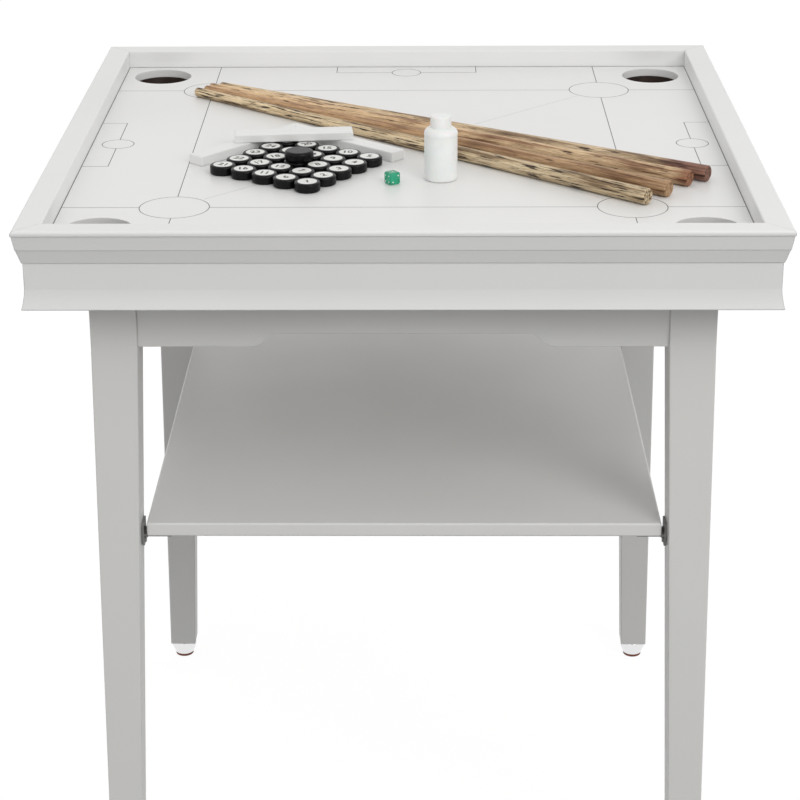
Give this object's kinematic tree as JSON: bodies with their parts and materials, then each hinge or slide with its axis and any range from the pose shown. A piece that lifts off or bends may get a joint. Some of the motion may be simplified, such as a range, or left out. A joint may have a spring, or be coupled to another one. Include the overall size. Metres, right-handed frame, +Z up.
{
  "type": "square game table with playing set",
  "caption": "Square white game table with a moulded tray top, corner pockets, tapered legs and a lower shelf, its cues, counters and die lying on the board.",
  "frame": {"origin": "on the floor, under the centre of the table", "axes": "+Z up, -Y towards the front of the picture, +X to its right"},
  "size_m": [0.75, 0.75, 0.878],
  "materials": {
    "white_lacquer": "white lacquer on wood, satin",
    "white_board": "white laminate on a wood board, satin, with thin grey lines",
    "shelf_laminate": "white laminate on a wood board, satin",
    "raw_timber": "bare pine",
    "pocket_plastic": "dark brown",
    "zinc_steel": "zinc plated",
    "dark_steel": "grey painted steel",
    "chrome_plate": "polished",
    "red_rubber": "brownish red",
    "cue_pale": "oiled pale ash",
    "cue_tan": "oiled tan ash",
    "cue_brown": "oiled brown ash",
    "cue_walnut": "oiled walnut",
    "black_plastic": "black, glossy",
    "label_white": "white with plain black numbers",
    "rack_white": "white lacquer on wood",
    "die_green": "translucent green with white pips",
    "bottle_white": "white",
    "powder_white": "fine white powder"
  },
  "bodies": {
    "table": {"rail_front": "white_lacquer", "rail_right": "white_lacquer", "rail_back": "white_lacquer", "rail_left": "white_lacquer", "apron_front": "white_lacquer", "apron_right": "white_lacquer", "apron_back": "white_lacquer", "apron_left": "white_lacquer", "leg_back_right": "white_lacquer", "leg_back_left": "white_lacquer", "leg_front_left": "white_lacquer", "leg_front_right": "white_lacquer", "playing_board": "white_board", "shelf": "shelf_laminate", "batten_front": "raw_timber", "batten_right": "raw_timber", "batten_back": "raw_timber", "batten_left": "raw_timber", "stiffeners": "raw_timber", "glue_blocks": "raw_timber", "corner_brace_back_right": "raw_timber", "corner_brace_back_left": "raw_timber", "corner_brace_front_left": "raw_timber", "corner_brace_front_right": "raw_timber", "pocket_cup_back_right": "pocket_plastic", "pocket_cup_back_left": "pocket_plastic", "pocket_cup_front_left": "pocket_plastic", "pocket_cup_front_right": "pocket_plastic", "pocket_cup_screws": "zinc_steel", "corner_brace_screws": "zinc_steel", "leg_bolts": "zinc_steel", "leg_bolt_washers": "zinc_steel", "leg_bolt_nuts": "zinc_steel", "tray_plates": "zinc_steel", "tray_plate_screws": "zinc_steel", "foot_sockets": "zinc_steel", "shelf_brackets": "dark_steel", "shelf_bracket_screws": "dark_steel"},
    "foot_pad_back_right": {"foot_pad_back_right": "red_rubber"},
    "foot_back_right": {"foot_back_right": "chrome_plate"},
    "foot_pad_back_left": {"foot_pad_back_left": "red_rubber"},
    "foot_back_left": {"foot_back_left": "chrome_plate"},
    "foot_pad_front_left": {"foot_pad_front_left": "red_rubber"},
    "foot_front_left": {"foot_front_left": "chrome_plate"},
    "foot_pad_front_right": {"foot_pad_front_right": "red_rubber"},
    "foot_front_right": {"foot_front_right": "chrome_plate"},
    "cue_1": {"cue_1": "cue_pale"},
    "cue_2": {"cue_2": "cue_tan"},
    "cue_3": {"cue_3": "cue_brown"},
    "cue_4": {"cue_4": "cue_walnut"},
    "counters": {"counters": "black_plastic", "counter_labels": "label_white"},
    "striker": {"striker": "black_plastic"},
    "rack": {"rack_arm_left": "rack_white", "rack_arm_right": "rack_white"},
    "rack_bar": {"rack_bar": "rack_white"},
    "die": {"die": "die_green"},
    "powder_bottle": {"powder_bottle": "bottle_white", "powder": "powder_white"},
    "powder_bottle_cap": {"powder_bottle_cap": "bottle_white"}
  },
  "joints": [
    {"name": "foot_travel_back_right", "type": "slide", "parent": "table", "child": "foot_pad_back_right", "axis": [0, 0, -1], "range_m": [0, 0.012]},
    {"name": "foot_turn_back_right", "type": "hinge", "parent": "foot_pad_back_right", "child": "foot_back_right", "pos_m": [0.3055, 0.3055, 0.022], "axis": [0, 0, -1], "range_deg": [0, 3456]},
    {"name": "foot_travel_back_left", "type": "slide", "parent": "table", "child": "foot_pad_back_left", "axis": [0, 0, -1], "range_m": [0, 0.012]},
    {"name": "foot_turn_back_left", "type": "hinge", "parent": "foot_pad_back_left", "child": "foot_back_left", "pos_m": [-0.3055, 0.3055, 0.022], "axis": [0, 0, -1], "range_deg": [0, 3456]},
    {"name": "foot_travel_front_left", "type": "slide", "parent": "table", "child": "foot_pad_front_left", "axis": [0, 0, -1], "range_m": [0, 0.012]},
    {"name": "foot_turn_front_left", "type": "hinge", "parent": "foot_pad_front_left", "child": "foot_front_left", "pos_m": [-0.3055, -0.3055, 0.022], "axis": [0, 0, -1], "range_deg": [0, 3456]},
    {"name": "foot_travel_front_right", "type": "slide", "parent": "table", "child": "foot_pad_front_right", "axis": [0, 0, -1], "range_m": [0, 0.012]},
    {"name": "foot_turn_front_right", "type": "hinge", "parent": "foot_pad_front_right", "child": "foot_front_right", "pos_m": [0.3055, -0.3055, 0.022], "axis": [0, 0, -1], "range_deg": [0, 3456]},
    {"name": "cue_1_lift", "type": "slide", "parent": "table", "child": "cue_1", "axis": [0, 0, 1], "range_m": [0, 0.1]},
    {"name": "cue_2_lift", "type": "slide", "parent": "table", "child": "cue_2", "axis": [0, 0, 1], "range_m": [0, 0.1]},
    {"name": "cue_3_lift", "type": "slide", "parent": "table", "child": "cue_3", "axis": [0, 0, 1], "range_m": [0, 0.1]},
    {"name": "cue_4_lift", "type": "slide", "parent": "table", "child": "cue_4", "axis": [0, 0, 1], "range_m": [0, 0.1]},
    {"name": "counters_slide", "type": "slide", "parent": "table", "child": "counters", "axis": [0, -1, 0], "range_m": [0, 0.15]},
    {"name": "striker_lift", "type": "slide", "parent": "counters", "child": "striker", "axis": [0, 0, 1], "range_m": [0, 0.1]},
    {"name": "rack_lift", "type": "slide", "parent": "table", "child": "rack", "axis": [0, 0, 1], "range_m": [0, 0.1]},
    {"name": "rack_bar_lift", "type": "slide", "parent": "rack", "child": "rack_bar", "axis": [0, 0, 1], "range_m": [0, 0.05]},
    {"name": "die_lift", "type": "slide", "parent": "table", "child": "die", "axis": [0, 0, 1], "range_m": [0, 0.1]},
    {"name": "powder_bottle_lift", "type": "slide", "parent": "table", "child": "powder_bottle", "axis": [0, 0, 1], "range_m": [0, 0.1]},
    {"name": "powder_bottle_cap_lift", "type": "slide", "parent": "powder_bottle", "child": "powder_bottle_cap", "axis": [0, 0, 1], "range_m": [0, 0.04]}
  ],
  "couplings": [
    {"joint": "foot_turn_back_right", "follows": "foot_travel_back_right", "rad_per_m": 5026.5},
    {"joint": "foot_turn_back_left", "follows": "foot_travel_back_left", "rad_per_m": 5026.5},
    {"joint": "foot_turn_front_left", "follows": "foot_travel_front_left", "rad_per_m": 5026.5},
    {"joint": "foot_turn_front_right", "follows": "foot_travel_front_right", "rad_per_m": 5026.5}
  ]
}
